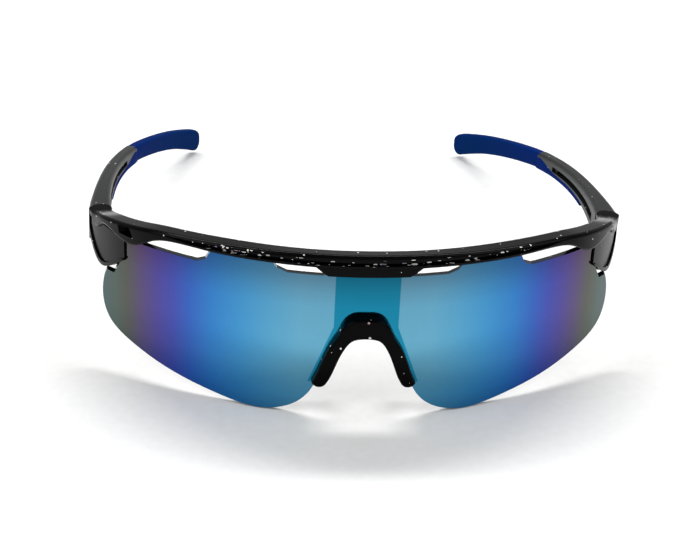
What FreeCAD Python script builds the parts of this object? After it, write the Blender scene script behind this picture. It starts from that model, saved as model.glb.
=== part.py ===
import FreeCAD, Part
import math
import os

from FreeCAD import Vector

# Wraparound sport sunglasses, standing open on the lower edge of the lens and on the temple tips.
# Millimetres. X runs across the face, Y runs back along the temples, Z is up.
# Everything is modelled with the lens's front at Y = 0 and its lowest edge at Z = 0,
# then moved forward by ORIGIN_Y so that the origin is under the middle of the glasses.
# "right" is the side at +X and "left" the side at -X, as seen by someone looking at the front.

# ---- Driving dimensions ----
ORIGIN_Y = 81.06            # from the lens's front to the middle of the overall length

LENS_RADIUS = 90.0          # front face of the one-piece lens, a cylinder with an upright axis
LENS_THICKNESS = 1.6
LENS_FIT = 0.12             # room round the lens in its groove
GROOVE_TOP = 44.4           # roof of the groove in the browbar
LENS_TOP = GROOVE_TOP - LENS_FIT

BAR_FRONT = 2.5             # browbar's front face, ahead of the lens
BAR_BACK = 3.1              # browbar's back face, behind the lens's front face
BAR_BOTTOM = 43.0
TAB_BOTTOM = 40.8           # the browbar drops lower over the nose
TAB_HALF_WIDTH = 10.0
CHANNEL_DEPTH = 0.9         # long recess in the browbar's front face
CHANNEL_LOW = 44.0
CHANNEL_HIGH = 45.7
CHANNEL_HALF_WIDTH = 50.5

HINGE_X = 67.2              # upright hinge axis
HINGE_Y = 41.6
EAR_OUTER = 3.7             # round end of the end piece, from the axis: outwards,
EAR_BACK = 3.0              # backwards,
EAR_INNER = 2.4             # and inwards
EAR_CORE = 1.9              # the ears stop short of the side shield that covers them
EAR_TAPER = 2.2
EAR_FORWARD = 5.0           # how far the ears reach ahead of the axis, into the end piece
EAR_TOP = 37.5
CAP_BOTTOM = 36.2           # above this the end piece is full width
CAP_TAPER = 2.0
EAR_BOTTOM = 27.2
SLOT_TOP = 34.2             # slot between the two ears, where the temple's eye turns
SLOT_BOTTOM = 30.0
SLOT_FIT = 0.1
EYE_GAP = 0.2               # between the eye's round end and the slot
NECK_SWING = 2.3            # room ahead of the axis for the neck when the temple is folded
EYE_RADIUS = 1.75
EYE_NECK = 3.0              # length of the neck behind the end piece
EYE_ROOM = 0.4              # clearance of the eye and its neck in the side shield
SEAM = 0.3                  # gap between the end piece and the temple

SCREW_RADIUS = 0.7
SCREW_FIT = 0.04
SCREW_HEAD_RADIUS = 1.35
SCREW_HEAD_HEIGHT = 0.8
SEAT_FIT = 0.1              # room round the screw's head in its seat
SCREW_TOP = 36.4
SCREW_SLOT_WIDTH = 0.4
SCREW_SLOT_DEPTH = 0.35

SHIELD_THICKNESS = 2.2
SHIELD_RIM_WIDTH = 1.1
SHIELD_RIM_HEIGHT = 0.5

BRIDGE_FRONT = 2.6          # nose bridge's arch, ahead of the lens
BRIDGE_BACK = 2.4           # and behind the lens's back face
BRIDGE_ROUNDING = 0.5
PAD_THICKNESS = 2.4
PAD_LEAN = 24.0             # degrees that each pad turns outwards towards its back edge

TEMPLE_CORNER = 1.1         # rounding of the temple's long edges
TIP_START_Y = 111.3         # where the bare shell ends and the rubber tip takes over
TONGUE_END_Y = 148.0        # end of the shell's tongue inside the rubber tip
CORE_SHRINK = 0.55          # the shell's tongue inside the rubber tip is this much of its size


# ---- Helpers ----
def moved(shape):
    """The shape in its final place, with the origin under the middle of the glasses."""
    return shape.translated(Vector(0, -ORIGIN_Y, 0))


def mirrored(shape):
    """The same piece for the other side of the face."""
    return shape.mirror(Vector(0, 0, 0), Vector(1, 0, 0))


def upright_prism(points, low, high):
    """A prism with the plan outline given as (x, y) points, between two heights."""
    corners = [Vector(x, y, low) for x, y in points]
    face = Part.Face(Part.makePolygon(corners + corners[:1]))
    return face.extrude(Vector(0, 0, high - low))


def front_prism(points, depth_from, depth_to):
    """A prism with the front outline given as (x, z) points, between two depths."""
    corners = [Vector(x, depth_from, z) for x, z in points]
    face = Part.Face(Part.makePolygon(corners + corners[:1]))
    return face.extrude(Vector(0, depth_to - depth_from, 0))


def shell_band(ahead, behind, low, high):
    """A round wall that follows the lens, from ahead of its front face to behind it."""
    axis = Vector(0, LENS_RADIUS, low)
    outer = Part.makeCylinder(LENS_RADIUS + ahead, high - low, axis)
    inner = Part.makeCylinder(LENS_RADIUS - behind, high - low, axis)
    return outer.cut(inner)


def rounded_section(outer, inner, top, bottom, corner, top_corner):
    """A four-sided section in the upright plane through two plan points, with round corners.

    top and bottom each hold the height at the outer and at the inner side.
    """
    start = Vector(outer[0], outer[1], 0)
    across = Vector(inner[0], inner[1], 0) - start
    width = across.Length
    across.normalize()

    def place(along, height):
        return start + across * along + Vector(0, 0, height)

    corners = [
        (0.0, bottom[0], corner),
        (0.0, top[0], top_corner),
        (width, top[1], corner),
        (width, bottom[1], corner),
    ]
    ends = []
    for index, (along, height, radius) in enumerate(corners):
        previous = corners[index - 1]
        following = corners[(index + 1) % len(corners)]
        here = place(along, height)
        to_previous = (place(previous[0], previous[1]) - here).normalize()
        to_following = (place(following[0], following[1]) - here).normalize()
        first = here + to_previous * radius
        last = here + to_following * radius
        bulge = here + (to_previous + to_following) * (radius * (1 - math.sqrt(0.5)))
        ends.append((first, bulge, last))
    edges = []
    for index, (first, bulge, last) in enumerate(ends):
        edges.append(Part.Arc(first, bulge, last).toShape())
        edges.append(Part.LineSegment(last, ends[(index + 1) % len(ends)][0]).toShape())
    return Part.Wire(edges)


# ---- Front ----
def arc_station(lens_x):
    """Plan points of the browbar's front and back faces, straight out from the lens at lens_x."""
    angle = math.asin(lens_x / LENS_RADIUS)
    radii = (LENS_RADIUS + BAR_FRONT, LENS_RADIUS - BAR_BACK)
    return [(r * math.sin(angle), LENS_RADIUS - r * math.cos(angle)) for r in radii]


def frame_stations():
    """Sections of the right half of the frame, from over the nose to the hinge.

    Each is (front point, back point, (top front, top back), (bottom front, bottom back)).
    """
    along_lens = [
        (0.0, (46.9, 45.7), BAR_BOTTOM),
        (13.0, (46.8, 45.6), BAR_BOTTOM),
        (26.0, (46.4, 45.5), BAR_BOTTOM),
        (38.0, (45.9, 45.2), BAR_BOTTOM),
        (46.5, (45.4, 44.7), BAR_BOTTOM),
        (52.0, (44.8, 44.2), 41.6),
    ]
    stations = []
    for lens_x, top, bottom in along_lens:
        front, back = arc_station(lens_x)
        stations.append((front, back, top, (bottom, bottom)))
    stations.append(((58.2, 18.6), (54.6, 23.0), (43.8, 43.1), (38.3, 38.6)))
    stations.append(((63.4, 25.0), (59.0, 28.2), (42.2, 41.7), (38.3, 38.0)))
    stations.append(((67.6, 32.4), (62.6, 34.5), (40.2, 39.9), (37.5, 36.5)))
    stations.append(((69.8, 37.6), (64.4, 38.6), (38.7, 38.8), (36.4, 35.4)))
    return stations


def frame_blank():
    """The browbar and both end pieces as one swept bar, up to just short of the hinges."""
    right = frame_stations()
    left = []
    for front, back, top, bottom in reversed(right[1:]):
        left.append(((-front[0], front[1]), (-back[0], back[1]), top, bottom))
    sections = [rounded_section(f, b, t, m, 0.7, 1.1) for f, b, t, m in left + right]
    return Part.makeLoft(sections, True, False)


def ear_outline(grow, forward, outer=EAR_OUTER, taper=0.0):
    """Plan outline of the hinge's round end, widened by grow, reaching forward of the axis.

    taper draws the outer side in towards its front.
    """
    points = []
    steps = 24
    for step in range(steps + 1):
        angle = math.pi * step / steps
        side = outer if angle < math.pi / 2 else EAR_INNER
        x = HINGE_X + (side + grow) * math.cos(angle)
        y = HINGE_Y + (EAR_BACK + grow) * math.sin(angle)
        points.append((x, y))
    points.append((HINGE_X - EAR_INNER - grow, HINGE_Y - forward))
    points.append((HINGE_X + outer + grow - taper, HINGE_Y - forward))
    return points


def hinge_ears():
    """The right end piece's two ears, with the slot for the temple's eye."""
    ears = upright_prism(ear_outline(0.0, EAR_FORWARD, EAR_CORE, EAR_TAPER), EAR_BOTTOM, CAP_BOTTOM)
    cap = upright_prism(ear_outline(0.0, EAR_FORWARD, taper=CAP_TAPER), CAP_BOTTOM, EAR_TOP)
    slot_height = SLOT_TOP - SLOT_BOTTOM
    past = 10.0
    eye_room = Part.makeCylinder(EYE_RADIUS + EYE_GAP, slot_height,
                                 Vector(HINGE_X, HINGE_Y, SLOT_BOTTOM))
    behind = Part.makeBox(2 * past, past, slot_height,
                          Vector(HINGE_X - past, HINGE_Y, SLOT_BOTTOM))
    inside = Part.makeBox(past, past + NECK_SWING, slot_height,
                          Vector(HINGE_X - past, HINGE_Y - NECK_SWING, SLOT_BOTTOM))
    return ears.fuse(cap).cut(eye_room.fuse([behind, inside]))


def screw_room():
    """The hole for the hinge screw, open at the bottom, with a seat for its head."""
    shank = Part.makeCylinder(SCREW_RADIUS + SCREW_FIT, SCREW_TOP + SCREW_FIT - EAR_BOTTOM + 1,
                              Vector(HINGE_X, HINGE_Y, EAR_BOTTOM - 1))
    seat = Part.makeCylinder(SCREW_HEAD_RADIUS + SEAT_FIT, SCREW_HEAD_HEIGHT + 1,
                             Vector(HINGE_X, HINGE_Y, EAR_BOTTOM - 1))
    return shank.fuse(seat)


def lens_room():
    """The groove in the frame that the lens's top edge and its two ends push up into."""
    wall = shell_band(LENS_FIT, LENS_THICKNESS + LENS_FIT, 15, 50)
    along_bar = front_prism([(-41, 15), (41, 15), (41, GROOVE_TOP), (-41, GROOVE_TOP)], -5, 40)
    end = front_prism([(50, 15), (66.0, 15), (66.0, 26.9), (64.4, 26.9), (61.2, 33.2),
                       (61.2, 38.9), (50, 39.5)], -5, 40)
    return wall.common(along_bar.fuse([end, mirrored(end)]))


def channel():
    """The long shallow recess along the browbar's front face, with pointed ends."""
    wall = shell_band(BAR_FRONT + 5, -(BAR_FRONT - CHANNEL_DEPTH), 40, 50)
    middle = (CHANNEL_LOW + CHANNEL_HIGH) / 2
    drop = 0.9
    half = [(0, CHANNEL_LOW), (CHANNEL_HALF_WIDTH - 6, CHANNEL_LOW - 0.1),
            (CHANNEL_HALF_WIDTH, middle - drop / 2), (CHANNEL_HALF_WIDTH - 8, CHANNEL_HIGH - drop),
            (26, CHANNEL_HIGH - 0.35), (0, CHANNEL_HIGH)]
    other = [(-x, z) for x, z in reversed(half[1:-1])]
    return wall.common(front_prism(half + other, -5, 20))


def end_pocket():
    """The four-sided recess in the front of the left end piece, narrower at its floor."""
    corner = Vector(-59.2, 19.9, 0)
    along = Vector(-0.60, 0.80, 0)
    outwards = Vector(-0.80, -0.60, 0)
    outline = [(-1.6, 40.1), (0.0, 42.7), (5.2, 41.7), (4.6, 39.7)]
    middle = (2.0, 41.0)

    def ring(scale, height):
        points = []
        for distance, level in outline:
            u = middle[0] + (distance - middle[0]) * scale
            z = middle[1] + (level - middle[1]) * scale
            points.append(corner + along * u + Vector(0, 0, z) + outwards * height)
        return Part.makePolygon(points + points[:1])

    return Part.makeLoft([ring(1.15, 1.6), ring(0.62, -1.9)], True, True)


def front_frame():
    tab = shell_band(BAR_FRONT - 0.4, BAR_BACK - 0.3, 38, 45)
    flare = 3.6
    tab = tab.common(front_prism([(-TAB_HALF_WIDTH - flare, 43.4), (-TAB_HALF_WIDTH - 0.9, 41.2),
                                  (-TAB_HALF_WIDTH, TAB_BOTTOM), (TAB_HALF_WIDTH, TAB_BOTTOM),
                                  (TAB_HALF_WIDTH + 0.9, 41.2), (TAB_HALF_WIDTH + flare, 43.4),
                                  (0, 44.5)], -5, 10))
    ears = hinge_ears()
    frame = frame_blank().fuse([tab, ears, mirrored(ears)])
    frame = frame.cut([screw_room(), mirrored(screw_room()), lens_room(), channel(), end_pocket()])
    return frame.removeSplitter()


# ---- Side shields ----
def shield_outer_path():
    """Plan points along the front of the right side shield, from beside the lens to the hinge."""
    return [(60.9, 23.0), (63.8, 27.5), (66.9, 33.3), (69.3, 38.7), (70.4, 42.2), (70.9, 45.4)]


def shield_wall(ahead, thickness):
    """An upright wall along the side shield's path, its front face moved out by ahead."""
    path = Part.BSplineCurve()
    path.interpolate([Vector(x, y, 0) for x, y in shield_outer_path()])
    low = 20.0
    high = 42.0
    front = []
    back = []
    steps = 12
    for step in range(steps + 1):
        along = path.FirstParameter + (path.LastParameter - path.FirstParameter) * step / steps
        point = path.value(along)
        tangent = Vector(*path.tangent(along)[0])
        outwards = Vector(tangent.y, -tangent.x, 0)
        front.append(point + outwards * ahead)
        back.append(point + outwards * (ahead - thickness))
    front_curve = Part.BSplineCurve()
    front_curve.interpolate(front)
    back_curve = Part.BSplineCurve()
    back_curve.interpolate(list(reversed(back)))
    wire = Part.Wire([front_curve.toShape(), Part.makeLine(front[-1], back[-1]),
                      back_curve.toShape(), Part.makeLine(back[0], front[0])])
    return Part.Face(wire).extrude(Vector(0, 0, high - low)).translated(Vector(0, 0, low))


def shield_silhouette(inset):
    """The side shield's outline seen square on, as a prism, with its rim drawn in by inset."""
    along = Vector(0.44, 0.90, 0)
    outwards = Vector(0.90, -0.44, 0)
    start = Vector(60.9, 23.0, 0)

    def place(distance, height):
        return start + along * distance + Vector(0, 0, height) - outwards * 15

    lower = [place(2.2, 30.4 + inset), place(6.5, 27.6 + inset), place(11.0, 25.6 + inset),
             place(13.0 - 0.2 * inset, 25.4 + inset), place(18.0 - 0.7 * inset, 27.6 + inset * 0.8),
             place(22.4 - inset, 31.8 + inset * 0.4), place(23.6 - inset, 35.6)]
    edge = Part.BSplineCurve()
    edge.interpolate(lower)
    corners = [lower[-1], place(24.0 - inset, 41.0), place(-2.0, 41.0), place(-2.0, 33.5), lower[0]]
    wire = Part.Wire([edge.toShape()] + [Part.makeLine(a, b) for a, b in zip(corners, corners[1:])])
    return Part.Face(wire).extrude(outwards * 30)


def eye_sweep():
    """Room in the side shield for the temple's eye and its neck, open towards the head."""
    low = SLOT_BOTTOM - EYE_ROOM / 2
    height = SLOT_TOP - SLOT_BOTTOM + EYE_ROOM
    reach = EYE_RADIUS + EYE_ROOM
    past = 10.0
    round_part = Part.makeCylinder(reach, height, Vector(HINGE_X, HINGE_Y, low))
    straight_part = Part.makeBox(past + reach, past, height, Vector(HINGE_X - past, HINGE_Y, low))
    return round_part.fuse(straight_part)


def side_shield(frame):
    """The right side shield, hung under the end piece, with a raised rim round its free edge."""
    plate = shield_wall(0.0, SHIELD_THICKNESS).common(shield_silhouette(0.0))
    rim = shield_wall(SHIELD_RIM_HEIGHT, SHIELD_THICKNESS)
    rim = rim.common(shield_silhouette(0.0)).cut(shield_silhouette(SHIELD_RIM_WIDTH))
    shield = plate.fuse(rim)
    over = front_prism([(55, 50), (80, 50), (80, CAP_BOTTOM), (70.3, CAP_BOTTOM), (66.0, 37.4),
                        (55, 38.4)], 10, 60)
    behind_seam = Part.makeBox(30, 30, 60, Vector(60, HINGE_Y + EAR_BACK - 1.1, 0))
    temple_room = upright_prism([(60, HINGE_Y), (HINGE_X + EAR_OUTER, HINGE_Y),
                                 (HINGE_X + EAR_OUTER, 60), (60, 60)], 0, 60)
    round_end = upright_prism(ear_outline(0.0, EAR_FORWARD), 0, 60)
    ear_room = upright_prism(ear_outline(SLOT_FIT, EAR_FORWARD, EAR_CORE, EAR_TAPER), 20, 60)
    shield = shield.cut([over, lens_room(), behind_seam, temple_room.cut(round_end), ear_room,
                         eye_sweep()])
    shield = shield.cut(frame)
    solids = sorted(shield.Solids, key=lambda solid: solid.Volume)
    return solids[-1]


# ---- Lens ----
def lens_outline():
    """Front outline of the lens: spline edges for its rim, with the vents cut into its top."""
    rim = [(65.7, 26.5), (66.9, 19.5), (64.9, 12.3), (58.5, 8.1), (47.0, 4.0), (37.0, 1.55),
           (24.8, 0.0), (18.6, 1.8), (13.3, 6.9)]
    nose = [(13.3, 6.9), (10.0, 14.2), (7.9, 19.6), (5.6, 24.3), (3.2, 26.0), (0.0, 26.4)]
    top = [(0.0, LENS_TOP), (8.6, LENS_TOP), (9.8, 43.2), (10.2, 40.6), (11.2, 39.8),
           (20.0, 39.8), (22.6, 40.8), (25.4, LENS_TOP), (37.2, LENS_TOP), (39.2, 41.6),
           (40.2, 39.5), (42.2, 38.5), (60.6, 38.1), (60.9, 33.2), (63.7, 26.6), (65.7, 26.5)]

    def spline(points):
        curve = Part.BSplineCurve()
        curve.interpolate([Vector(x, 0, z) for x, z in points])
        return curve.toShape()

    def half(side):
        edges = [spline([(side * x, z) for x, z in rim]), spline([(side * x, z) for x, z in nose])]
        corners = [Vector(side * x, 0, z) for x, z in top]
        edges += [Part.makeLine(a, b) for a, b in zip(corners, corners[1:])]
        return edges

    ordered = Part.sortEdges(half(1) + half(-1))[0]
    return Part.Face(Part.Wire(ordered))


def lens():
    blank = lens_outline().extrude(Vector(0, 60, 0)).translated(Vector(0, -5, 0))
    return blank.common(shell_band(0.0, LENS_THICKNESS, -2, 50))


# ---- Nose bridge and pads ----
def arch_outline(outer, inner):
    """A closed front outline between an outer and an inner arch, each a half from leg to crown."""
    def both(points):
        return points + [(-x, z) for x, z in reversed(points[:-1])]

    def spline(points):
        curve = Part.BSplineCurve()
        curve.interpolate([Vector(x, 0, z) for x, z in points])
        return curve.toShape()

    outer_points = both(outer)
    inner_points = both(inner)

    def foot(side):
        start = Vector(side * outer[0][0], 0, outer[0][1])
        end = Vector(side * inner[0][0], 0, inner[0][1])
        middle = (start + end) * 0.5 - Vector(0, 0, 1.1)
        return Part.Arc(start, middle, end).toShape()

    edges = [spline(outer_points), spline(inner_points), foot(1), foot(-1)]
    return Part.Face(Part.Wire(Part.sortEdges(edges)[0]))


def nose_bridge():
    """The saddle round the lens's nose cut-out: a wide arch ahead, a web, and a flange behind."""
    outer = [(13.2, 10.4), (11.5, 14.6), (9.4, 20.0), (7.3, 23.6), (5.4, 27.2), (3.4, 28.6), (0, 28.9)]
    inner = [(9.6, 10.2), (7.4, 15.3), (5.2, 20.6), (3.4, 22.8), (0, 23.5)]
    flange_outer = [(12.6, 10.6), (10.9, 14.6), (8.9, 19.6), (6.7, 23.6), (4.4, 26.6), (0, 27.6)]
    gap = LENS_THICKNESS + 0.05
    front = arch_wall(outer, inner, BRIDGE_FRONT, -0.05)
    front = front.makeFillet(BRIDGE_ROUNDING, [edge for edge in front.Edges if rounds_front(edge)])
    back = arch_wall(flange_outer, inner, -gap, gap + BRIDGE_BACK)
    web_outer = [(11.1, 11.6), (9.7, 14.4), (7.6, 19.4), (5.3, 24.0), (3.1, 25.7), (0, 26.1)]
    web_inner = [(9.7, 11.4), (7.7, 15.3), (5.6, 20.3), (3.6, 22.9), (0, 23.7)]
    web = arch_wall(web_outer, web_inner, 0.5, gap + 0.5)
    return front.fuse([web, back])


def arch_wall(outer, inner, ahead, behind):
    """An arch cut from the round wall that follows the lens."""
    prism = arch_outline(outer, inner).extrude(Vector(0, 20, 0)).translated(Vector(0, -8, 0))
    return prism.common(shell_band(ahead, behind, 0, 40))


def rounds_front(edge):
    """True for the long edges of the bridge's front face."""
    radius = LENS_RADIUS + BRIDGE_FRONT
    for vertex in edge.Vertexes:
        if abs(math.hypot(vertex.X, vertex.Y - LENS_RADIUS) - radius) > 0.01:
            return False
    return edge.Length > 3


def nose_pad():
    """The right nose pad: a soft leaf behind the lens, leaning out from the bridge's leg."""
    levels = [
        (8.4, 12.2, 6.0, 4.0),
        (10.5, 12.0, 6.2, 7.4),
        (14.0, 11.3, 6.3, 9.0),
        (18.0, 9.8, 6.3, 8.6),
        (21.0, 8.2, 6.2, 6.6),
        (22.8, 6.9, 6.1, 3.6),
    ]
    lean = math.radians(PAD_LEAN)
    sections = []
    for height, x, y, depth in levels:
        across = Vector(math.cos(lean), -math.sin(lean), 0) * (PAD_THICKNESS / 2)
        back = Vector(math.sin(lean), math.cos(lean), 0)
        start = Vector(x, y, height)
        near = start + back * 0.4
        far = start + back * (depth - PAD_THICKNESS / 2)
        tip = start + back * depth
        edges = [
            Part.makeLine(near - across, far - across),
            Part.Arc(far - across, tip, far + across).toShape(),
            Part.makeLine(far + across, near + across),
            Part.Arc(near + across, start, near - across).toShape(),
        ]
        sections.append(Part.Wire(edges))
    return Part.makeLoft(sections, True, False)


# ---- Temples ----
def temple_stations():
    """Sections along the right temple, from the hinge to the tip.

    Each is (outer plan point, inner plan point, height of the top, height of the bottom).
    """
    return [
        ((70.9, 41.0), (64.8, 40.6), 37.6, 27.4),
        ((71.1, 47.0), (65.3, 46.8), 36.5, 27.8),
        ((70.9, 58.0), (66.0, 57.5), 34.8, 27.5),
        ((70.4, 70.0), (66.2, 69.1), 32.8, 26.6),
        ((69.4, 84.0), (65.6, 82.8), 30.3, 24.8),
        ((67.4, 99.0), (63.9, 97.3), 27.4, 22.3),
        ((64.3, 114.0), (61.0, 112.0), 24.1, 19.0),
        ((59.9, 129.4), (56.9, 127.2), 20.0, 14.6),
        ((54.6, 145.0), (51.9, 142.6), 15.3, 9.4),
        ((49.6, 157.4), (47.0, 154.8), 11.0, 4.3),
        ((44.2, 168.4), (41.8, 165.6), 6.7, -1.2),
    ]


def temple_blank(first, last, shrink):
    """The temple's smooth outer form between two stations, drawn in towards its middle."""
    sections = []
    for outer, inner, top, bottom in temple_stations()[first:last]:
        middle = ((outer[0] + inner[0]) / 2, (outer[1] + inner[1]) / 2)
        height = (top + bottom) / 2

        def drawn(point):
            return tuple(m + (p - m) * shrink for p, m in zip(point, middle))

        upper = height + (top - height) * shrink
        lower = height - (height - bottom) * shrink
        corner = TEMPLE_CORNER * shrink
        sections.append(rounded_section(drawn(outer), drawn(inner), (upper, upper),
                                        (lower, lower), corner, corner))
    return Part.makeLoft(sections, True, False)


def tip_end_room():
    """What is cut away behind the temple's end: a leaning plane with rounded corners."""
    profile = [Vector(0, 159.4, 12.0), Vector(0, 163.0, 8.6), Vector(0, 164.4, 6.2),
               Vector(0, 164.6, 3.2), Vector(0, 163.2, 0.9), Vector(0, 160.0, 0.0),
               Vector(0, 153.0, 2.2), Vector(0, 146.0, 5.4)]
    curve = Part.BSplineCurve()
    curve.interpolate(profile)
    corners = [profile[-1], Vector(0, 146, -20), Vector(0, 190, -20), Vector(0, 190, 30),
               Vector(0, 159.4, 30), profile[0]]
    wire = Part.Wire([curve.toShape()] + [Part.makeLine(a, b) for a, b in zip(corners, corners[1:])])
    return Part.Face(wire).extrude(Vector(80, 0, 0)).translated(Vector(20, 0, 0))


def shell_end_room(gap):
    """Everything behind the rounded end of the temple's hard shell, moved back by gap."""
    profile = [Vector(0, 101.5 + gap, 12.0), Vector(0, 108.5 + gap, 19.2),
               Vector(0, TIP_START_Y + gap, 22.6), Vector(0, 113.6 + gap, 25.2),
               Vector(0, 110.5 + gap, 29.0)]
    curve = Part.BSplineCurve()
    curve.interpolate(profile)
    corners = [profile[-1], Vector(0, 200, 40), Vector(0, 200, -20), Vector(0, 101.5 + gap, -20),
               profile[0]]
    wire = Part.Wire([curve.toShape()] + [Part.makeLine(a, b) for a, b in zip(corners, corners[1:])])
    return Part.Face(wire).extrude(Vector(80, 0, 0)).translated(Vector(20, 0, 0))


def inner_band(depth, low, high):
    """A strip of the temple's inner side, between two fractions of its height."""
    sections = []
    for outer, inner, top, bottom in temple_stations()[1:7]:
        height = top - bottom
        away = Vector(inner[0] - outer[0], inner[1] - outer[1], 0).normalize()
        face = Vector(inner[0], inner[1], 0)
        near = face - away * depth
        far = face + away * 2.0
        corners = [near + Vector(0, 0, bottom + height * low), far + Vector(0, 0, bottom + height * low),
                   far + Vector(0, 0, bottom + height * high),
                   near + Vector(0, 0, bottom + height * high)]
        sections.append(Part.makePolygon(corners + corners[:1]))
    return Part.makeLoft(sections, True, False)


def groove():
    """The long hollow along the inner side of the temple."""
    ends = Part.makeBox(40, 48.0, 60, Vector(45, 52.0, 0))
    return inner_band(2.2, 0.34, 0.66).common(ends)


def strip():
    """The rubber strip let into the inner lower edge of the temple."""
    ends = Part.makeBox(40, 60.0, 60, Vector(45, 68.0, 0))
    return inner_band(1.2, -0.2, 0.2).common(ends)


def hinge_end_room():
    """What is cut off the front of the temple so that it turns round the end piece."""
    round_end = upright_prism(ear_outline(SEAM, 20.0), 20, 50)
    square_end = Part.makeBox(20, 20, 30, Vector(HINGE_X - 20, HINGE_Y + EAR_BACK + SEAM - 20, 20))
    ahead = Part.makeBox(40, 20, 30, Vector(HINGE_X - 20, HINGE_Y - 0.5 - 20, 20))
    return round_end.fuse([square_end, ahead])


def hinge_eye():
    """The temple's eye: a flat lug that turns on the screw between the two ears."""
    low = SLOT_BOTTOM + SLOT_FIT
    thick = SLOT_TOP - SLOT_BOTTOM - 2 * SLOT_FIT
    disc = Part.makeCylinder(EYE_RADIUS, thick, Vector(HINGE_X, HINGE_Y, low))
    neck = Part.makeBox(2 * EYE_RADIUS, EAR_BACK + EYE_NECK, thick,
                        Vector(HINGE_X - EYE_RADIUS, HINGE_Y, low))
    hole = Part.makeCylinder(SCREW_RADIUS + SCREW_FIT, thick + 2, Vector(HINGE_X, HINGE_Y, low - 1))
    return disc.fuse(neck).cut(hole)


def temple_arm():
    """The hard shell of the right temple, with the tongue that the rubber tip grips."""
    shell = temple_blank(0, 8, 1.0).cut([shell_end_room(0.0), hinge_end_room(), groove(), strip()])
    tongue = temple_blank(5, 10, CORE_SHRINK)
    tongue = tongue.cut(Part.makeBox(60, 30, 40, Vector(30, TONGUE_END_Y, -10)))
    return shell.fuse([tongue, hinge_eye()]).removeSplitter()


def temple_rubber(arm):
    """The right rubber tip, with its strip running forward under the shell."""
    whole = temple_blank(1, 11, 1.0).cut(tip_end_room())
    tip = whole.common(shell_end_room(0.0))
    edge_strip = whole.common(strip())
    return tip.fuse(edge_strip).cut(arm).removeSplitter()


def hinge_screw():
    shank = Part.makeCylinder(SCREW_RADIUS, SCREW_TOP - EAR_BOTTOM, Vector(HINGE_X, HINGE_Y, EAR_BOTTOM))
    head = Part.makeCylinder(SCREW_HEAD_RADIUS, SCREW_HEAD_HEIGHT - 0.02,
                             Vector(HINGE_X, HINGE_Y, EAR_BOTTOM + 0.02))
    driver_slot = Part.makeBox(4, SCREW_SLOT_WIDTH, SCREW_SLOT_DEPTH,
                               Vector(HINGE_X - 2, HINGE_Y - SCREW_SLOT_WIDTH / 2, EAR_BOTTOM))
    return shank.fuse(head).cut(driver_slot)


# ---- Assembly ----
def build():
    frame = front_frame()
    shield = side_shield(frame)
    arm = temple_arm()
    rubber = temple_rubber(arm)
    sided = {
        "side_shield": shield,
        "nose_pad": nose_pad(),
        "temple_arm": arm,
        "temple_rubber": rubber,
        "hinge_screw": hinge_screw(),
    }
    nodes = {"front_frame": frame, "lens": lens(), "nose_bridge": nose_bridge()}
    for name, shape in sided.items():
        nodes[name + "_right"] = shape
        nodes[name + "_left"] = mirrored(shape)
    return nodes


def main():
    os.makedirs("parts", exist_ok=True)
    for name, shape in build().items():
        placed = moved(shape)
        placed.exportStep(os.path.join("parts", name + ".step"))
        box = placed.BoundBox
        print(f"{name:22s} solids {len(placed.Solids)} valid {placed.isValid()} "
              f"volume {placed.Volume:9.1f}  "
              f"x {box.XMin:7.2f} {box.XMax:7.2f}  y {box.YMin:7.2f} {box.YMax:7.2f}  "
              f"z {box.ZMin:6.2f} {box.ZMax:6.2f}")


main()
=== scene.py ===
# %% [markdown]
# # Wraparound sport sunglasses
# The model from CAD arrives as a fixed frame: every hard piece already has its true shape and
# place, and its joints. This file gives those pieces their finishes, and models again the soft
# ones, which CAD only blocks out: the two rubber temple tips, their strips and the nose pads.
# Nothing made here may change the size of the glasses.

import math

import bmesh
import bpy
from mathutils import Matrix, Quaternion, Vector


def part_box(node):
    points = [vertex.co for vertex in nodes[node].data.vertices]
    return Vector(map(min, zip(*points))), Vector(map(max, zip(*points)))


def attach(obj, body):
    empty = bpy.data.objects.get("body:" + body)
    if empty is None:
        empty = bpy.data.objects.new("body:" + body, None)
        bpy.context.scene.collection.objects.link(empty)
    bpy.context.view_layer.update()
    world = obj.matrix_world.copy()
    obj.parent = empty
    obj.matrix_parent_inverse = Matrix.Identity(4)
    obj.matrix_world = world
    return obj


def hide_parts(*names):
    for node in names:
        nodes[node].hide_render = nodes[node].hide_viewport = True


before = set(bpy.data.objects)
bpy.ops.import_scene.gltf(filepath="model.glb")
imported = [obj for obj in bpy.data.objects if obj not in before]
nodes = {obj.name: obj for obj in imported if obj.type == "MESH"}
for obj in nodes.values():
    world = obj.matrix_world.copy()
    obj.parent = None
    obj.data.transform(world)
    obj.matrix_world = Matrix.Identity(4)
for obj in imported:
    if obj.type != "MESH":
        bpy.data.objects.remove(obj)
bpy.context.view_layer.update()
MM = 0.001
print("CAD nodes:", ", ".join(sorted(nodes)))

# %% [markdown]
# ## Colours and nodes
# A colour picked on a screen is stored with a curve that suits the eye, while the renderer adds
# up light, which is linear. One function turns the first into the second, so that every colour
# below can be written as it looks. One more function adds a node, sets its sockets and links
# it, which keeps each material readable as a list of nodes from the coordinates to the shader.


# %% Helpers for materials
def linear(hex_colour):
    """An sRGB hex colour as the linear RGBA that sockets take."""
    channels = []
    for start in (1, 3, 5):
        value = int(hex_colour[start:start + 2], 16) / 255
        low = value / 12.92
        high = ((value + 0.055) / 1.055) ** 2.4
        channels.append(low if value <= 0.04045 else high)
    return (*channels, 1.0)


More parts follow.
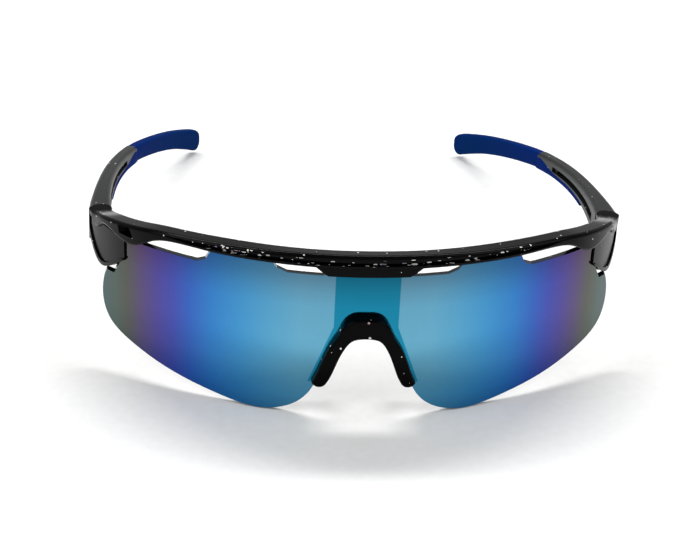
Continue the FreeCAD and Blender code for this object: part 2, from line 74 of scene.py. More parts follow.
def add(tree, kind, values=None, links=None, **settings):
    """Adds a node, with its own settings, its sockets' values and what is linked to them."""
    node = tree.nodes.new("ShaderNode" + kind)
    for name, value in settings.items():
        setattr(node, name, value)
    for socket, value in (values or {}).items():
        node.inputs[socket].default_value = value
    for socket, source in (links or {}).items():
        tree.links.new(source, node.inputs[socket])
    return node


def blank_material(name):
    """A new material with nothing in it but its output, and the output node."""
    material = bpy.data.materials.new(name)
    material.use_nodes = True
    material.node_tree.nodes.clear()
    return material, material.node_tree, add(material.node_tree, "OutputMaterial")


def set_ramp(node, stops, interpolation="LINEAR"):
    """Gives a colour ramp its stops, each a (place, sRGB hex)."""
    ramp = node.color_ramp
    ramp.interpolation = interpolation
    while len(ramp.elements) > 1:
        ramp.elements.remove(ramp.elements[-1])
    ramp.elements[0].position = stops[0][0]
    ramp.elements[0].color = linear(stops[0][1])
    for place, colour in stops[1:]:
        ramp.elements.new(place).color = linear(colour)


def finish_node(name, material):
    """Puts a material on a CAD node, whose mesh stays as it is."""
    node = nodes[name]
    if not node.material_slots:
        node.data.materials.append(material)
    for material_slot in node.material_slots:
        material_slot.material = material
    print(name, "->", material.name)


print("mid grey in linear light:", round(linear("#808080")[0], 3))

# %% [markdown]
# ## Camera
# The glasses are seen from above and a little to one side, from far enough away that both lens
# halves keep their width. A long lens does that. The camera looks down by about 28 degrees, and
# is turned slightly about its own line of sight, as a hand-held one is.

# %% Camera
lens_low, lens_high = (Vector(corner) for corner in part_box("lens"))
LENS_FRONT = lens_low.y
CAMERA_SIDE = -40.0 * MM
CAMERA_AHEAD = 395.7 * MM
CAMERA_HEIGHT = 249.4 * MM
LINE_OF_SIGHT = Vector((0.0786, 0.8803, -0.4679))
ROLL = math.radians(2.95)
camera_data = bpy.data.cameras.new("camera")
camera_data.lens = 94.06
camera_data.sensor_width = 36.0
camera = bpy.data.objects.new("camera", camera_data)
bpy.context.scene.collection.objects.link(camera)
camera.location = (CAMERA_SIDE, LENS_FRONT - CAMERA_AHEAD, CAMERA_HEIGHT)
camera.rotation_mode = "QUATERNION"
level = LINE_OF_SIGHT.to_track_quat("-Z", "Y")
camera.rotation_quaternion = level @ Quaternion((0, 0, 1), ROLL)
bpy.context.scene.camera = camera
bpy.context.scene.view_settings.view_transform = "Standard"
print("camera", [round(v, 4) for v in camera.location])

# %% [markdown]
# ## Floor and light
# The floor is a plain pale sheet. The mirror lens leans over it and shows mostly the floor in
# front, so the floor's brightness decides how bright the lens looks. The sky is one even pale
# colour, a broad lamp on each side rounds the forms, and a narrow strip above draws the
# long highlight on top of the browbar.

# %% Floor
FLOOR_SIZE = 6.0
FLOOR_DROP = 0.4 * MM
bpy.ops.object.select_all(action="DESELECT")
bpy.ops.mesh.primitive_plane_add(size=FLOOR_SIZE, location=(0, 0, -FLOOR_DROP))
floor = bpy.context.object
floor.name = "floor"
paper, tree, output = blank_material("seamless_paper")
place = add(tree, "TexCoord")
# Paper's fibres make faint clouds, 2.5 mm across.
fibres = add(tree, "TexNoise", {"Scale": 1 / (2.5 * MM), "Detail": 3.0},
             {"Vector": place.outputs["Object"]})
tone = add(tree, "ValToRGB", links={"Fac": fibres.outputs["Fac"]})
set_ramp(tone, [(0.3, "#f1f1f0"), (0.7, "#f5f5f4")])
paper_shader = add(tree, "BsdfPrincipled", {"Roughness": 0.8, "Specular IOR Level": 0.1},
                   {"Base Color": tone.outputs["Color"]})
tree.links.new(paper_shader.outputs["BSDF"], output.inputs["Surface"])
floor.data.materials.append(paper)
print("floor", FLOOR_SIZE, "m wide")

# %% Sky and lamps
world = bpy.data.worlds.new("studio")
bpy.context.scene.world = world
world.use_nodes = True
sky = world.node_tree.nodes["Background"]
sky.inputs["Color"].default_value = linear("#ffffff")
sky.inputs["Strength"].default_value = 0.42


def area_lamp(name, at, aim, size, watts):
    """A rectangular soft lamp that points at aim."""
    lamp_data = bpy.data.lights.new(name, "AREA")
    lamp_data.shape = "RECTANGLE"
    lamp_data.size, lamp_data.size_y = size
    lamp_data.energy = watts
    lamp = bpy.data.objects.new(name, lamp_data)
    lamp.location = at
    lamp.rotation_mode = "QUATERNION"
    lamp.rotation_quaternion = (Vector(aim) - Vector(at)).to_track_quat("-Z", "Y")
    bpy.context.scene.collection.objects.link(lamp)


area_lamp("side_left", at=(-0.9, -0.5, 0.9), aim=(0, 0, 0.02), size=(0.9, 0.9), watts=5.9)
area_lamp("side_right", at=(0.9, -0.4, 0.9), aim=(0, 0, 0.02), size=(0.9, 0.9), watts=3.9)
area_lamp("strip_above", at=(0.0, 0.35, 0.8), aim=(0, -0.05, 0.03), size=(0.9, 0.12), watts=6.6)
print(len(bpy.data.lights), "lamps")

# %% [markdown]
# ## Paint flecks
# The frame and temples are black nylon, spattered with white paint. Spatter is drops of all
# sizes landing at random, which a Voronoi texture gives: each cell has one drop, at its own
# place. A random number per cell decides whether the drop is there and how large it is, and a
# little noise on the coordinates makes its edge uneven. The sizes are those of real spatter:
# drops are up to about 0.7 mm across, in cells of about 2 mm.

# %% Fleck pattern
WOBBLES_PER_MM = 1.8
WOBBLE = 0.16 * MM
SMALLEST_DROP = 0.3


def flecks(tree, place, cell_mm, drop_mm, kept, stretch=1.0):
    """One layer of paint drops, up to drop_mm in radius. Returns (mask, random) sockets."""
    squeeze = add(tree, "VectorMath", {1: (1.0 / stretch, 1.0, 1.0)},
                  {0: place.outputs["Object"]}, operation="MULTIPLY")
    ragged = add(tree, "TexNoise", {"Scale": WOBBLES_PER_MM / MM, "Detail": 1.0},
                 {"Vector": place.outputs["Object"]})
    spread = add(tree, "VectorMath", {"Scale": WOBBLE}, {0: ragged.outputs["Color"]},
                 operation="SCALE")
    uneven = add(tree, "VectorMath", links={0: squeeze.outputs[0], 1: spread.outputs[0]},
                 operation="ADD")
    cells = add(tree, "TexVoronoi", {"Scale": 1.0 / (cell_mm * MM)}, {"Vector": uneven.outputs[0]})
    random = add(tree, "SeparateColor", links={"Color": cells.outputs["Color"]})
    present = add(tree, "Math", {1: kept}, {0: random.outputs["Red"]}, operation="LESS_THAN")
    largest = drop_mm / cell_mm
    radius = add(tree, "MapRange", {"To Min": SMALLEST_DROP * largest, "To Max": largest},
                 {"Value": random.outputs["Green"]})
    inside = add(tree, "Math", links={0: cells.outputs["Distance"], 1: radius.outputs["Result"]},
                 operation="LESS_THAN")
    mask = add(tree, "Math", links={0: present.outputs[0], 1: inside.outputs[0]},
               operation="MULTIPLY")
    return mask.outputs[0], random.outputs["Blue"]


print("smallest drop is", SMALLEST_DROP, "of the largest")

# %% [markdown]
# ## The browbar's channel
# A shallow channel runs along the front of the browbar, and short white streaks lie along it:
# partly paint flecks and partly a painted highlight, the broken glint of the glossy channel.
# The same drops serve, in smaller cells that are stretched along X.
# A point is in the channel if it is near the middle, between two heights, and farther from
# the axis of the lens's cylinder than the lens is, which leaves out the bar's back.

# %% Where the channel is
LENS_RADIUS = 90 * MM
CHANNEL_HALF_LENGTH = 41 * MM
CHANNEL_LOW = 43.9 * MM
CHANNEL_HIGH = 45.8 * MM
CHANNEL_AHEAD = 1.2 * MM


def from_lens_axis(tree, axes):
    """A socket with a point's distance, in plan, from the axis of the lens's cylinder."""
    depth = add(tree, "Math", {1: LENS_FRONT + LENS_RADIUS}, {0: axes.outputs["Y"]},
                operation="SUBTRACT")
    plan = add(tree, "CombineXYZ", links={"X": axes.outputs["X"], "Y": depth.outputs[0]})
    return add(tree, "VectorMath", links={0: plan.outputs[0]}, operation="LENGTH").outputs["Value"]


def in_channel(tree, axes):
    """A socket that is 1 in the browbar's channel, and 0 elsewhere."""
    side = add(tree, "Math", links={0: axes.outputs["X"]}, operation="ABSOLUTE")
    reach = from_lens_axis(tree, axes)
    limits = [(side.outputs[0], "LESS_THAN", CHANNEL_HALF_LENGTH),
              (axes.outputs["Z"], "GREATER_THAN", CHANNEL_LOW),
              (axes.outputs["Z"], "LESS_THAN", CHANNEL_HIGH),
              (reach, "GREATER_THAN", LENS_RADIUS + CHANNEL_AHEAD)]
    tests = [add(tree, "Math", {1: limit}, {0: source}, operation=comparison).outputs[0]
             for source, comparison, limit in limits]
    mask = tests[0]
    for test in tests[1:]:
        mask = add(tree, "Math", links={0: mask, 1: test}, operation="MULTIPLY").outputs[0]
    return mask


print("channel", round(2 * CHANNEL_HALF_LENGTH / MM), "mm long")

# %% [markdown]
# ## Spattered nylon
# Moulded nylon copies the spark-eroded grain of its mould, and the paint stands a hair above
# it. So one height, made of grain and drops together, drives the bump, and the grain also
# makes the gloss uneven. Most drops are white, and a few are grey, violet or pink.

# %% Spattered nylon
# The real grain is about 0.15 mm across, and is drawn coarser so that it shows.
NYLON_GRAIN = 0.3 * MM
FLECK_CELL_MM = 1.9


def spattered_nylon(name, dark, light, roughness, gloss, drop_mm, kept, streaks=False):
    """Moulded black nylon with paint flecks, and if asked streaks in the browbar's channel, partly
    flecks and partly painted highlight.
    """
    material, tree, output = blank_material(name)
    place = add(tree, "TexCoord")
    mask, tint = flecks(tree, place, FLECK_CELL_MM, drop_mm, kept)
    if streaks:
        axes = add(tree, "SeparateXYZ", links={"Vector": place.outputs["Object"]})
        # Painted highlight: besides paint, these streaks stand for the broken glint along the
        # glossy channel.
        streak, _ = flecks(tree, place, cell_mm=0.66, drop_mm=0.24, kept=0.85, stretch=4.0)
        here = add(tree, "Math", links={0: streak, 1: in_channel(tree, axes)},
                   operation="MULTIPLY")
        mask = add(tree, "Math", links={0: mask, 1: here.outputs[0]},
                   operation="MAXIMUM").outputs[0]
    grain = add(tree, "TexNoise", {"Scale": 1 / NYLON_GRAIN, "Detail": 4.0},
                {"Vector": place.outputs["Object"]})
    plastic = add(tree, "ValToRGB", links={"Fac": grain.outputs["Fac"]})
    set_ramp(plastic, [(0.3, dark), (0.7, light)])
    paint = add(tree, "ValToRGB", links={"Fac": tint})
    set_ramp(paint, [(0.0, "#efeeea"), (0.72, "#d9d8d6"), (0.86, "#8f7f9c"), (0.94, "#b79aa2")],
             "CONSTANT")
    colour = add(tree, "Mix", links={"Factor": mask, "A": plastic.outputs["Color"],
                                     "B": paint.outputs["Color"]}, data_type="RGBA")
    rough = add(tree, "MapRange", {"To Min": roughness * 0.8, "To Max": roughness * 1.25},
                {"Value": grain.outputs["Fac"]})
    height = add(tree, "Math", {1: 0.2}, {0: grain.outputs["Fac"], 2: mask},
                 operation="MULTIPLY_ADD")
    bump = add(tree, "Bump", {"Strength": 0.25, "Distance": 0.05 * MM},
               {"Height": height.outputs[0]})
    shader = add(tree, "BsdfPrincipled", {"IOR": 1.53, "Specular IOR Level": gloss},
                 {"Base Color": colour.outputs["Result"], "Roughness": rough.outputs["Result"],
                  "Normal": bump.outputs["Normal"]})
    tree.links.new(shader.outputs["BSDF"], output.inputs["Surface"])
    return material


print("a cell of flecks is", FLECK_CELL_MM, "mm")

# %% [markdown]
# ## Black nylon pieces
# The browbar and the nose saddle come out of a polished mould and shine, while the temples
# and side shields have a satin mould and look a shade greyer. The same recipe makes all of
# them, with other colours, gloss and number of drops.

# %% Finish the nylon pieces
gloss_nylon = spattered_nylon("gloss_nylon_spattered", "#010101", "#030304", roughness=0.1,
                              gloss=0.06, drop_mm=0.27, kept=0.55, streaks=True)
saddle_nylon = spattered_nylon("gloss_nylon_saddle", "#010101", "#030303", roughness=0.1,
                               gloss=0.04, drop_mm=0.36, kept=0.9)
temple_nylon = spattered_nylon("satin_nylon_temple", "#101112", "#181a1b", roughness=0.4,
                               gloss=0.18, drop_mm=0.26, kept=0.6)
shield_nylon = spattered_nylon("satin_nylon_shield", "#050506", "#0a0a0c", roughness=0.24,
                               gloss=0.05, drop_mm=0.26, kept=0.4)
finish_node("front_frame", gloss_nylon)
finish_node("nose_bridge", saddle_nylon)
for side in ("left", "right"):
    finish_node("temple_arm_" + side, temple_nylon)
    finish_node("side_shield_" + side, shield_nylon)

# %% [markdown]
# ## Mirror coating on the lens
# The lens is smoke polycarbonate with a stack of very thin metal oxide layers on its front.
# Such a stack reflects one colour head on and others as the surface turns away, so across
# this curved shield it goes from blue-green by way of blue to violet and a dull olive grey at
# the ends. A true thin film depends on the viewer. Here the colour is laid on the lens by how
# far to the side a point is, which stays put in every view.

# %% Colours from the middle to the ends
coated, tree, output = blank_material("mirror_coated_polycarbonate")
place = add(tree, "TexCoord")
axes = add(tree, "SeparateXYZ", links={"Vector": place.outputs["Object"]})
side = add(tree, "Math", links={0: axes.outputs["X"]}, operation="ABSOLUTE")
across = add(tree, "MapRange", {"From Max": lens_high.x}, {"Value": side.outputs[0]})
sweep = add(tree, "ValToRGB", links={"Fac": across.outputs["Result"]})
set_ramp(sweep, [(0.0, "#639fb8"), (0.25, "#62a0bc"), (0.36, "#5499be"), (0.46, "#448ec0"),
                 (0.57, "#387bbd"), (0.66, "#3a60b2"), (0.72, "#464fa3"), (0.78, "#504990"),
                 (0.84, "#584c73"), (0.90, "#565751"), (0.95, "#525f5a"), (1.0, "#4e5e62")])
print("coating reaches", round(lens_high.x / MM, 1), "mm to each side")

# %% [markdown]
# ## Painted shade over the nose
# The saddle's flange lies against the lens's back, and the lens over it is darkened to a teal
# by a band of painted shade. The band has straight edges above the saddle. Below that it
# spreads on both sides, to stay beside the saddle's legs, and it stops at their feet.

# %% Band of painted shade over the nose
BAND_HALF_WIDTH = 8.1 * MM
BAND_EDGE = 0.1 * MM
BAND_SPREADS_BELOW = 25.6 * MM
BAND_SPREAD = 0.37
BAND_FOOT = 9.4 * MM
below = add(tree, "Math", {0: BAND_SPREADS_BELOW}, {1: axes.outputs["Z"]}, operation="SUBTRACT")
drop = add(tree, "Math", {1: 0.0}, {0: below.outputs[0]}, operation="MAXIMUM")
from_edge = add(tree, "Math", {1: -BAND_SPREAD}, {0: drop.outputs[0], 2: side.outputs[0]},
                operation="MULTIPLY_ADD")
within = add(tree, "MapRange", {"From Min": BAND_HALF_WIDTH + BAND_EDGE,
                                "From Max": BAND_HALF_WIDTH - BAND_EDGE},
             {"Value": from_edge.outputs[0]})
over_foot = add(tree, "Math", {1: BAND_FOOT}, {0: axes.outputs["Z"]}, operation="GREATER_THAN")
nose_shade_mask = add(tree, "Math", links={0: within.outputs["Result"], 1: over_foot.outputs[0]},
                operation="MULTIPLY")
# Painted shade: the teal mixed in over the nose stands for shade, not for the coating's colour.
swept_with_shade = add(tree, "Mix", {"B": linear("#1c7f9f")},
            {"Factor": nose_shade_mask.outputs[0], "A": sweep.outputs["Color"]}, data_type="RGBA")
print("band", round(2 * BAND_HALF_WIDTH / MM, 1), "mm wide above the saddle")

# %% [markdown]
# ## Painted shade at the upper and lower edges
# The mirror is darkened near its upper and lower edges by painted shade. It stands for the
# shadowed floor that the lens reflects below, and the browbar's shadow above. A second ramp,
# on height, multiplies the colours and gives that.

# %% Painted shade at the upper and lower edges
up = add(tree, "MapRange", {"From Max": lens_high.z}, {"Value": axes.outputs["Z"]})
# Painted shade and reflection: darker and bluer near the bottom, greyer near the top.
painted_edge_shade = add(tree, "ValToRGB", links={"Fac": up.outputs["Result"]})
set_ramp(painted_edge_shade, [(0.0, "#a4c3d6"), (0.11, "#c8e6f4"), (0.28, "#f9feff"), (0.5, "#ffffff"),
                (0.7, "#f6f6f8"), (0.8, "#e9dfe0"), (0.88, "#d4c3c4"), (1.0, "#a6a0a6")])
# Painted shade: the coating's colours are multiplied here by that ramp, so the result holds both.
coating = add(tree, "Mix", {"Factor": 1.0},
              {"A": swept_with_shade.outputs["Result"], "B": painted_edge_shade.outputs["Color"]},
              data_type="RGBA", blend_type="MULTIPLY")
print("lens top at", round(lens_high.z / MM, 1), "mm")

# %% [markdown]
# ## Coated front, plain back
# Only the front face is coated. A point is on it if it is far enough from the axis of the
# lens's cylinder, and the back shows the dark smoke plastic. One mask chooses both the colour
# and whether the surface is metal. Metal keeps its default IOR.

# %% Lens
COAT_DEPTH = 0.4 * MM
front = add(tree, "Math", {1: LENS_RADIUS - COAT_DEPTH}, {0: from_lens_axis(tree, axes)},
            operation="GREATER_THAN")
colour = add(tree, "Mix", {"A": linear("#0d1216")},
             {"Factor": front.outputs[0], "B": coating.outputs["Result"]}, data_type="RGBA")
# Handling marks and the coating's faint unevenness, about 6 mm across, only change the gloss.
haze = add(tree, "TexNoise", {"Scale": 1 / (6 * MM), "Detail": 3.0},
           {"Vector": place.outputs["Object"]})
polish = add(tree, "MapRange", {"To Min": 0.05, "To Max": 0.1}, {"Value": haze.outputs["Fac"]})
ripple = add(tree, "Bump", {"Strength": 0.02, "Distance": 0.05 * MM},
             {"Height": haze.outputs["Fac"]})
lens_shader = add(tree, "BsdfPrincipled", None,
                  {"Base Color": colour.outputs["Result"], "Metallic": front.outputs[0],
                   "Roughness": polish.outputs["Result"], "Normal": ripple.outputs["Normal"]})
tree.links.new(lens_shader.outputs["BSDF"], output.inputs["Surface"])
finish_node("lens", coated)

# %% [markdown]
# ## Hinge screws
# Each temple turns on a small steel screw. Its head is turned on a lathe, which leaves fine
# rings round the axis. A wave texture in rings gives them, and metal keeps its own IOR. The
# two screws stand at the same distance from the middle, so taking X without its sign and then
# moving the pattern to one screw's axis centres it on both.

# %% Screws
# Real tool marks are about 0.08 mm apart, and are drawn coarser so that they show.
RING_PITCH = 0.2 * MM
WAVES_PER_UNIT = 20 / (2 * math.pi)
screw_low, screw_high = (Vector(corner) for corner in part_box("hinge_screw_right"))
screw_axis = (screw_low + screw_high) / 2
turned_steel, tree, output = blank_material("turned_steel")
place = add(tree, "TexCoord")
axes = add(tree, "SeparateXYZ", links={"Vector": place.outputs["Object"]})
side = add(tree, "Math", links={0: axes.outputs["X"]}, operation="ABSOLUTE")
on_one_side = add(tree, "CombineXYZ", links={"X": side.outputs[0], "Y": axes.outputs["Y"]})
centred = add(tree, "VectorMath", {1: (screw_axis.x, screw_axis.y, 0.0)},
              {0: on_one_side.outputs[0]}, operation="SUBTRACT")
rings = add(tree, "TexWave", {"Scale": 1 / (WAVES_PER_UNIT * RING_PITCH), "Distortion": 0.5},
            {"Vector": centred.outputs[0]}, wave_type="RINGS", rings_direction="Z")
steel_tone = add(tree, "ValToRGB", links={"Fac": rings.outputs["Fac"]})
set_ramp(steel_tone, [(0.0, "#a7a8ab"), (1.0, "#c9cacd")])
steel_bump = add(tree, "Bump", {"Strength": 0.2, "Distance": 0.02 * MM},
                 {"Height": rings.outputs["Fac"]})
steel_shader = add(tree, "BsdfPrincipled", {"Metallic": 1.0, "Roughness": 0.28},
                   {"Base Color": steel_tone.outputs["Color"],
                    "Normal": steel_bump.outputs["Normal"]})
tree.links.new(steel_shader.outputs["BSDF"], output.inputs["Surface"])
print("screw axis at", [round(value, 4) for value in screw_axis])
for side in ("left", "right"):
    finish_node("hinge_screw_" + side, turned_steel)


# %% [markdown]
# ## Rubber
# The tips and pads are soft thermoplastic rubber, moulded over or pushed on to the nylon. It
# has a fine matt grain, hardly any shine even at glancing angles, and a colour that shifts
# slightly where the moulding flowed. The tips are blue, a shade greener towards their ends.


# %% Rubber material
# The mould's matt grain is near 0.1 mm across, and is drawn coarser so that it shows.
RUBBER_GRAIN = 0.25 * MM
FLOW_MARKS = 5 * MM


def rubber(name, stops, axis, low, high, roughness):
    """Matt moulded rubber whose colour runs through stops along an axis, low to high in metres."""
    material, tree, output = blank_material(name)
    place = add(tree, "TexCoord")
    axes = add(tree, "SeparateXYZ", links={"Vector": place.outputs["Object"]})
    along = add(tree, "MapRange", {"From Min": low, "From Max": high},
                {"Value": axes.outputs[axis]})
    flow = add(tree, "TexNoise", {"Scale": 1 / FLOW_MARKS, "Detail": 3.0},
               {"Vector": place.outputs["Object"]})
    shift = add(tree, "Math", {1: 0.18}, {0: flow.outputs["Fac"], 2: along.outputs["Result"]},
                operation="MULTIPLY_ADD")
    colour = add(tree, "ValToRGB", links={"Fac": shift.outputs[0]})
    set_ramp(colour, stops)
    grain = add(tree, "TexNoise", {"Scale": 1 / RUBBER_GRAIN, "Detail": 2.0},
                {"Vector": place.outputs["Object"]})
    rough = add(tree, "MapRange", {"To Min": roughness * 0.85, "To Max": roughness * 1.15},
                {"Value": grain.outputs["Fac"]})
    bump = add(tree, "Bump", {"Strength": 0.3, "Distance": 0.04 * MM},
               {"Height": grain.outputs["Fac"]})
    shader = add(tree, "BsdfPrincipled", {"IOR": 1.5, "Specular IOR Level": 0.006},
                 {"Base Color": colour.outputs["Color"], "Roughness": rough.outputs["Result"],
                  "Normal": bump.outputs["Normal"]})
    tree.links.new(shader.outputs["BSDF"], output.inputs["Surface"])
    return material


rubber_low, rubber_high = (Vector(corner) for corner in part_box("temple_rubber_right"))
blues = [(0.3, "#021f68"), (0.75, "#02225c"), (1.0, "#022458")]
tip_rubber = rubber("blue_moulded_rubber", blues, axis="Y", low=rubber_low.y,
                    high=rubber_high.y, roughness=0.6)
pad_low, pad_high = (Vector(corner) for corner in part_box("nose_pad_right"))
darks = [(0.2, "#0d1120"), (1.0, "#141a2e")]
pad_rubber = rubber("dark_moulded_rubber", darks, axis="Z", low=pad_low.z, high=pad_high.z,
                    roughness=0.5)
print("rubber runs from y", round(rubber_low.y, 4), "to", round(rubber_high.y, 4))

# %% [markdown]
# ## Measuring the CAD rubber
# Each tip is a bar that bends in and down behind the ear, so it could be a curve with a bevel
# or a box drawn out step by step. The box is better here, because the section is a rounded
# oblong that changes size on the way. Each step's size is measured: a copy of the CAD solid
# is cut with a plane square to the temple, and the cut's extent gives the next section.

# %% Measure sections of a CAD piece
MERGE_WITHIN = 0.001 * MM
ON_PLANE = 0.0001 * MM
AIM_STEP = 1.5 * MM


def cut_points(names, point, normal):
    """Where CAD pieces are cut by the plane through a point, square to a direction."""
    points = []
    for name in names:
        work = bmesh.new()
        work.from_mesh(nodes[name].data)
        bmesh.ops.remove_doubles(work, verts=work.verts, dist=MERGE_WITHIN)
        geometry = work.verts[:] + work.edges[:] + work.faces[:]
        cut = bmesh.ops.bisect_plane(work, geom=geometry, dist=ON_PLANE, plane_co=point,
                                     plane_no=normal)["geom_cut"]
        points += [v.co.copy() for v in cut if isinstance(v, bmesh.types.BMVert)]
        work.free()
    return points


def plan_centre(names, y):
    """The middle, in plan, of where the pieces are cut by the plane at y."""
    xs = [point.x for point in cut_points(names, (0, y, 0), (0, 1, 0))]
    return Vector(((min(xs) + max(xs)) / 2, y, 0))


def sideways(heading):
    """The level direction square to a heading, outwards on the right temple."""
    return Vector((heading.y, -heading.x, 0))


def section(names, centre, heading, inset=0.0):
    """Middle, heading, width and height of the cut square to the heading at a plan point."""
    across = sideways(heading)
    points = cut_points(names, centre, heading)
    sides = [(point - centre).dot(across) for point in points]
    heights = [point.z for point in points]
    middle = centre + across * ((min(sides) + max(sides)) / 2)
    middle.z = (min(heights) + max(heights)) / 2
    width = max(sides) - min(sides) - 2 * inset
    height = max(heights) - min(heights) - 2 * inset
    return middle, heading, width, height


def section_near(names, y, inset=0.0):
    """The section at y, square to the way the piece runs there."""
    before = plan_centre(names, y - AIM_STEP)
    after = plan_centre(names, y + AIM_STEP)
    return section(names, (before + after) / 2, (after - before).normalized(), inset)


_, _, tip_width, tip_height = section_near(["temple_rubber_right"], rubber_high.y - 20 * MM)
print("CAD tip", round(tip_width / MM, 1), "x", round(tip_height / MM, 1), "mm in section")

# %% [markdown]
# ## Drawing a bar out
# The bar starts as a thin slab of the first section's size. Its far face is extruded to each
# next section in turn and given that section's size and heading. Then its long edges are
# bevelled, so that subdivision rounds them only a little and leaves the broad sides flat.

# %% Start and extend a bar
SLAB = 0.1 * MM


def select_only(obj):
    """Makes one object the only selected one, and the active one."""
    bpy.ops.object.select_all(action="DESELECT")
    obj.select_set(True)
    bpy.context.view_layer.objects.active = obj


def start_bar(name, first):
    """A thin slab of the first section's size, in edit mode, with its far face selected."""
    middle, heading, width, height = first
    bpy.ops.object.select_all(action="DESELECT")
    bpy.ops.mesh.primitive_cube_add(size=1, location=middle, scale=(width, SLAB, height),
                                    rotation=(0, 0, math.atan2(-heading.x, heading.y)))
    bar = bpy.context.object
    bar.name = name
    bpy.ops.object.transform_apply(location=True, rotation=True, scale=True)
    bpy.ops.object.mode_set(mode="EDIT")
    bpy.ops.mesh.select_mode(type="FACE")
    mesh = bmesh.from_edit_mesh(bar.data)
    for face in mesh.faces:
        face.select_set(face.normal.dot(heading) > 0.9)
    bmesh.update_edit_mesh(bar.data)
    return bar


def extend(bar, here, there):
    """Extrudes the selected face from one section to the next, and fits it to that one."""
    middle, heading, _, _ = here
    new_middle, new_heading, new_width, new_height = there
    bpy.ops.mesh.extrude_region_move(TRANSFORM_OT_translate={"value": new_middle - middle})
    mesh = bmesh.from_edit_mesh(bar.data)
    for vertex in mesh.verts:
        if vertex.select:
            offset = vertex.co - new_middle
            to_side = math.copysign(new_width / 2, offset.dot(sideways(heading)))
            to_top = math.copysign(new_height / 2, offset.z)
            vertex.co = new_middle + sideways(new_heading) * to_side + Vector((0, 0, to_top))
    bmesh.update_edit_mesh(bar.data)


print("a bar starts", round(SLAB / MM, 2), "mm thick")


# %% Round and copy a bar
def round_long_edges(bar, ends, rounding):
    """Bevels the bar's lengthwise edges, and leaves alone those round its two ends."""
    bpy.ops.mesh.select_all(action="DESELECT")
    bpy.ops.mesh.select_mode(type="EDGE")
    mesh = bmesh.from_edit_mesh(bar.data)
    mesh.normal_update()
    caps = [face for face in mesh.faces
            if any(abs(face.normal.dot(heading)) > 0.99 for heading in ends)]
    for edge in mesh.edges:
        at_cap = any(face in caps for face in edge.link_faces)
        edge.select_set(edge.calc_face_angle(0.0) > math.radians(60) and not at_cap)
    bmesh.update_edit_mesh(bar.data)
    bpy.ops.mesh.bevel(offset=rounding, segments=2, affect="EDGES", clamp_overlap=True)
    bpy.ops.mesh.select_all(action="SELECT")
    bpy.ops.mesh.remove_doubles(threshold=0.002 * MM)
    bpy.ops.mesh.normals_make_consistent(inside=False)


def smooth(piece):
    """Subdivides a piece twice, applies that, and shades the piece smooth."""
    select_only(piece)
    smoother = piece.modifiers.new("smooth", "SUBSURF")
    smoother.levels = smoother.render_levels = 2
    bpy.ops.object.modifier_apply(modifier=smoother.name)
    bpy.ops.object.shade_smooth()


def drawn_out(name, sections, rounding):
    """A bar through oblong sections, its long edges rounded."""
    bar = start_bar(name, sections[0])
    for here, there in zip(sections, sections[1:]):
        extend(bar, here, there)
    round_long_edges(bar, (sections[0][1], sections[-1][1]), rounding)
    bpy.ops.object.mode_set(mode="OBJECT")
    smooth(bar)
    print(name, len(sections), "sections,", len(bar.data.polygons), "faces")
    return bar


def mirrored_copy(piece, name):
    """The same piece for the other side, with a mesh of its own."""
    select_only(piece)
    bpy.ops.object.duplicate(linked=False)
    copy = bpy.context.object
    copy.name = name
    copy.scale.x = -1
    bpy.ops.object.transform_apply(location=True, rotation=True, scale=True)
    bpy.ops.object.mode_set(mode="EDIT")
    bpy.ops.mesh.select_all(action="SELECT")
    bpy.ops.mesh.normals_make_consistent(inside=False)
    bpy.ops.object.mode_set(mode="OBJECT")
    return copy


# %% [markdown]
# ## Rubber tips
# A tip is pushed on over the nylon shell's tongue. Here it starts a little way inside the
# shell, slightly slimmer than it, so its visible edge is the shell's own rounded end. Its last
# stretch runs straight, so the sections there are set back from the very end, closer and
# closer, which rounds the end off.

# %% Rubber tips
SHELL_LENGTH = 111.3 * MM
SECTION_STEP = 5 * MM
LAST_STRETCH = 12 * MM
TIP_ROUNDING = 0.9 * MM
both = ["temple_arm_right", "temple_rubber_right"]
rubber_only = ["temple_rubber_right"]
shell_end = LENS_FRONT + SHELL_LENGTH
sections = [section_near(both, shell_end - 9 * MM, inset=0.2 * MM),
            section_near(both, shell_end - 4 * MM, inset=0.15 * MM),
            section_near(both, shell_end, inset=0.08 * MM)]
y = shell_end + SECTION_STEP
while y < rubber_high.y - LAST_STRETCH:
    sections.append(section_near(rubber_only, y))
    y += SECTION_STEP
last_heading = sections[-1][1]
last_centre = plan_centre(rubber_only, y - 3 * MM)
furthest = max((vertex.co - last_centre).dot(last_heading)
               for vertex in nodes["temple_rubber_right"].data.vertices)
for set_back in (7, 4.5, 2.6, 1.3, 0.4):
    point = last_centre + last_heading * (furthest - set_back * MM)
    sections.append(section(rubber_only, point, last_heading))
tip_right = drawn_out("rubber_tip_right", sections, TIP_ROUNDING)
tip_left = mirrored_copy(tip_right, "rubber_tip_left")

# %% [markdown]
# ## Rubber strips
# A thin strip of the same rubber runs forward from each tip along the inner lower edge of the
# temple. It is low and even under the temple's groove, then climbs to meet the tip, and its
# end dives into the tip, so that the two run together without a step.

# %% Rubber strips
STRIP_DEPTH = 1.3 * MM
STRIP_PROUD = 0.15 * MM
STRIP_ROUNDING = 0.3 * MM
START_SHARE = 0.1
EVEN_SHARE = 0.24
END_SHARE = 0.84


def strip_section(y, share, proud=STRIP_PROUD):
    """A section of the strip, which covers a share of the temple's height from its lower edge."""
    middle, heading, width, height = section_near(both, y)
    tall = height * share
    inwards_by = width / 2 + proud - STRIP_DEPTH / 2
    middle = middle - sideways(heading) * inwards_by - Vector((0, 0, (height - tall) / 2))
    return middle, heading, STRIP_DEPTH, tall


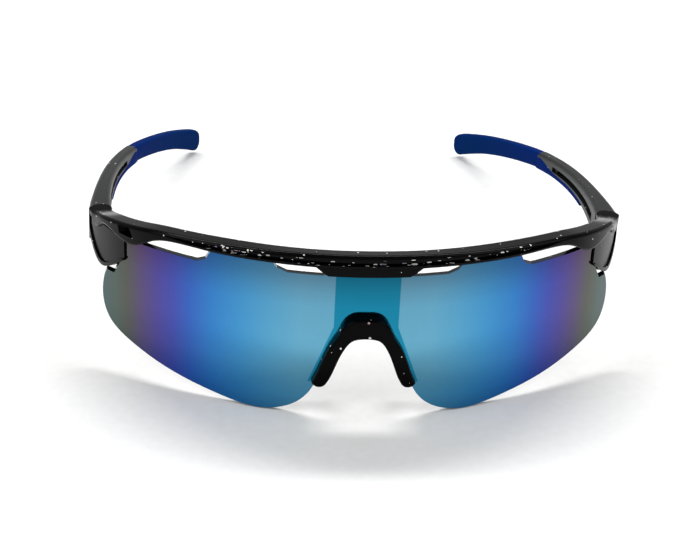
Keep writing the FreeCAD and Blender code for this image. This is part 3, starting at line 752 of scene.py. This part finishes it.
strip_start = rubber_low.y + 2.2 * MM
climb = shell_end - 13 * MM
strip_sections = [strip_section(strip_start, START_SHARE)]
strip_sections += [strip_section(strip_start + (climb - strip_start) * i / 4, EVEN_SHARE)
                   for i in range(1, 5)]
for before_end, share in ((9, 0.36), (5, 0.56), (2, 0.76)):
    strip_sections.append(strip_section(shell_end - before_end * MM, share))
for past_end, proud in ((1, 0.02 * MM), (4, -0.45 * MM)):
    strip_sections.append(strip_section(shell_end + past_end * MM, END_SHARE, proud))
strip_right = drawn_out("rubber_strip_right", strip_sections, STRIP_ROUNDING)
strip_left = mirrored_copy(strip_right, "rubber_strip_left")

# %% Rubber on the temples
for side, tip, strip in (("right", tip_right, strip_right), ("left", tip_left, strip_left)):
    for piece in (tip, strip):
        piece.data.materials.clear()
        piece.data.materials.append(tip_rubber)
        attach(piece, "temple_" + side)
        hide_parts("temple_rubber_" + side)
    print(tip.name, "and", strip.name, "ride temple_" + side)

# %% [markdown]
# ## Nose pads
# A pad is a soft leaf that stands on the saddle's leg and leans out against the side of the
# nose. It is thin, rounded at its free edge, and tapers to both ends. A box with each edge cut
# into four is enough to start: its lower and upper faces are drawn in, subdivision rounds it,
# and then it is turned to its two leans about its middle.

# %% Nose pad, shaped upright
pad_middle = (pad_low + pad_high) / 2
pad_size = Vector((2.6 * MM, 8.8 * MM, 14.6 * MM))
draw_in_to = pad_middle - Vector((0, pad_size.y * 0.2, 0))
bpy.ops.object.select_all(action="DESELECT")
bpy.ops.mesh.primitive_cube_add(size=1, location=pad_middle, scale=pad_size)
pad_right = bpy.context.object
pad_right.name = "rubber_pad_right"
bpy.ops.object.transform_apply(location=True, rotation=True, scale=True)
bpy.ops.object.mode_set(mode="EDIT")
bpy.ops.mesh.select_all(action="SELECT")
bpy.ops.mesh.subdivide(number_cuts=3)
bpy.ops.mesh.select_all(action="DESELECT")
bpy.ops.object.mode_set(mode="OBJECT")
for direction, draw_in in ((1, 0.5), (-1, 0.62)):
    for vertex in pad_right.data.vertices:
        vertex.select = direction * (vertex.co.z - pad_middle.z) > 0.45 * pad_size.z
    bpy.ops.object.mode_set(mode="EDIT")
    bpy.ops.mesh.select_mode(type="VERT")
    bpy.ops.transform.resize(value=(0.8, draw_in, 1.0), center_override=draw_in_to)
    bpy.ops.mesh.select_all(action="DESELECT")
    bpy.ops.object.mode_set(mode="OBJECT")
smooth(pad_right)
print("pad has", len(pad_right.data.polygons), "faces")

# %% Lean the pad and copy it
LEAN_OUT = math.radians(-24)
LEAN_UP = math.radians(-20)
turn = Matrix.Rotation(LEAN_UP, 4, "Y") @ Matrix.Rotation(LEAN_OUT, 4, "Z")
to_middle = Matrix.Translation(pad_middle)
pad_right.data.transform(to_middle @ turn @ to_middle.inverted())
pad_left = mirrored_copy(pad_right, "rubber_pad_left")
for side, pad in (("right", pad_right), ("left", pad_left)):
    pad.data.materials.clear()
    pad.data.materials.append(pad_rubber)
    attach(pad, "front")
    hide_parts("nose_pad_" + side)
for axis, low, high in zip(range(3), pad_low, pad_high):
    values = [vertex.co[axis] for vertex in pad_right.data.vertices]
    print("pad from", round(min(values) / MM, 1), "to", round(max(values) / MM, 1),
          "and CAD from", round(low / MM, 1), "to", round(high / MM, 1))
